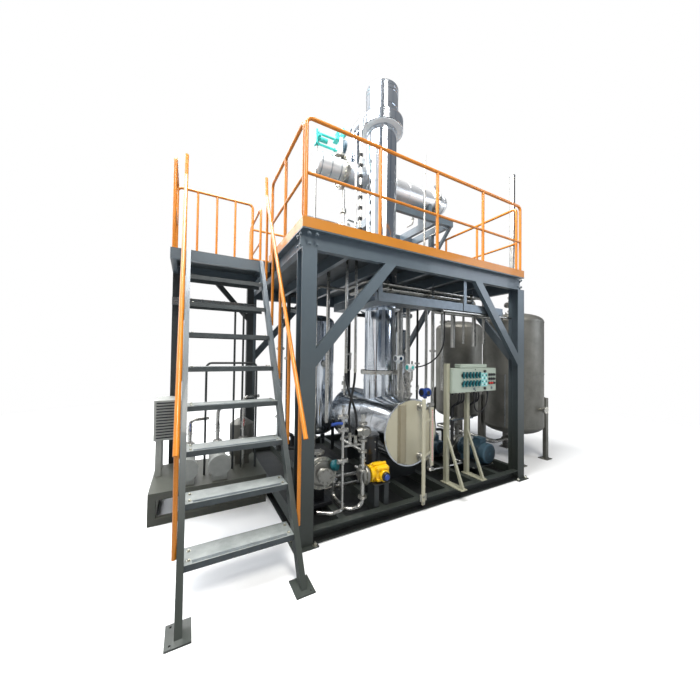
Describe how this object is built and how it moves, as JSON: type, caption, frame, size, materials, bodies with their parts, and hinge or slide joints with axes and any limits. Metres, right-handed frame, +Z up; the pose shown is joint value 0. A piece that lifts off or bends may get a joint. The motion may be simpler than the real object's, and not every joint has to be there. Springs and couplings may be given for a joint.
{
  "type": "distillation column skid",
  "caption": "Skid-mounted distillation column with a clad kettle, overhead condenser, steel frame and deck, orange rails, a steep stair and storage tanks.",
  "frame": {"origin": "underside of the front left column's base plate, at the column's centre", "axes": "+X along the front of the frame towards the storage tanks, +Y towards its back, +Z up"},
  "size_m": [6.255, 3.5649, 5.86],
  "materials": {
    "frame_paint": "slate blue-grey enamel on rolled steel",
    "tank_leg_paint": "dark grey enamel",
    "deck_paint": "worn grey floor paint on steel plate",
    "guard_orange": "orange safety enamel",
    "cladding": "rolled bright cladding sheet, banded seams",
    "stainless": "satin stainless steel",
    "tank_stainless": "dull pickled stainless steel",
    "cover_cream": "cream baked enamel",
    "panel_enamel": "pale grey-green enamel",
    "valve_teal": "teal enamel on castings",
    "drive_yellow": "yellow enamel on castings",
    "motor_blue": "dark blue-grey enamel on castings",
    "filter_black": "black enamel",
    "galvanised": "galvanised sheet",
    "instrument_white": "white powder coat",
    "hose_rubber": "black rubber sheath"
  },
  "bodies": {
    "root": {"frame_columns": "frame_paint", "skid_edge_beams": "frame_paint", "skid_cross_beams": "frame_paint", "deck_edge_beams": "frame_paint", "deck_joists": "frame_paint", "knee_braces": "frame_paint", "stair_stringers": "frame_paint", "landing_beams": "frame_paint", "landing_posts": "frame_paint", "condenser_stand": "frame_paint", "dosing_stand": "frame_paint", "module_frame": "frame_paint", "vessel_legs": "frame_paint", "kettle_saddles": "frame_paint", "storage_tank_legs": "tank_leg_paint", "deck_plates": "deck_paint", "stair_treads": "deck_paint", "guard_rail_front": "guard_orange", "guard_rail_back": "guard_orange", "guard_rail_right": "guard_orange", "guard_rail_left": "guard_orange", "toe_boards": "guard_orange", "landing_rail": "guard_orange", "stair_handrails": "guard_orange", "kettle_shell": "cladding", "kettle_back_head": "cladding", "column_neck": "cladding", "column_shell": "cladding", "column_collar": "cladding", "column_head": "cladding", "column_crown": "cladding", "column_lid": "cladding", "vapour_pipe": "cladding", "condenser_shell": "stainless", "condenser_heads": "stainless", "vessel_shells": "stainless", "vessel_ends": "stainless", "feed_pipes": "stainless", "process_pipes": "stainless", "feed_pump": "stainless", "product_cooler": "stainless", "level_gauge": "stainless", "module_equipment": "stainless", "tank_piping": "stainless", "storage_tank_shells": "tank_stainless", "storage_tank_ends": "tank_stainless", "kettle_front_cover": "cover_cream", "panel_posts": "cover_cream", "control_panel": "panel_enamel", "inlet_valve": "valve_teal", "dosing_drive": "drive_yellow", "circulation_pumps": "motor_blue", "filter_housing": "filter_black", "cable_tray": "galvanised", "transmitters": "instrument_white", "drain_hose_left": "hose_rubber", "drain_hose_right": "hose_rubber", "tray_cable": "hose_rubber", "panel_cable": "hose_rubber"}
  },
  "joints": []
}
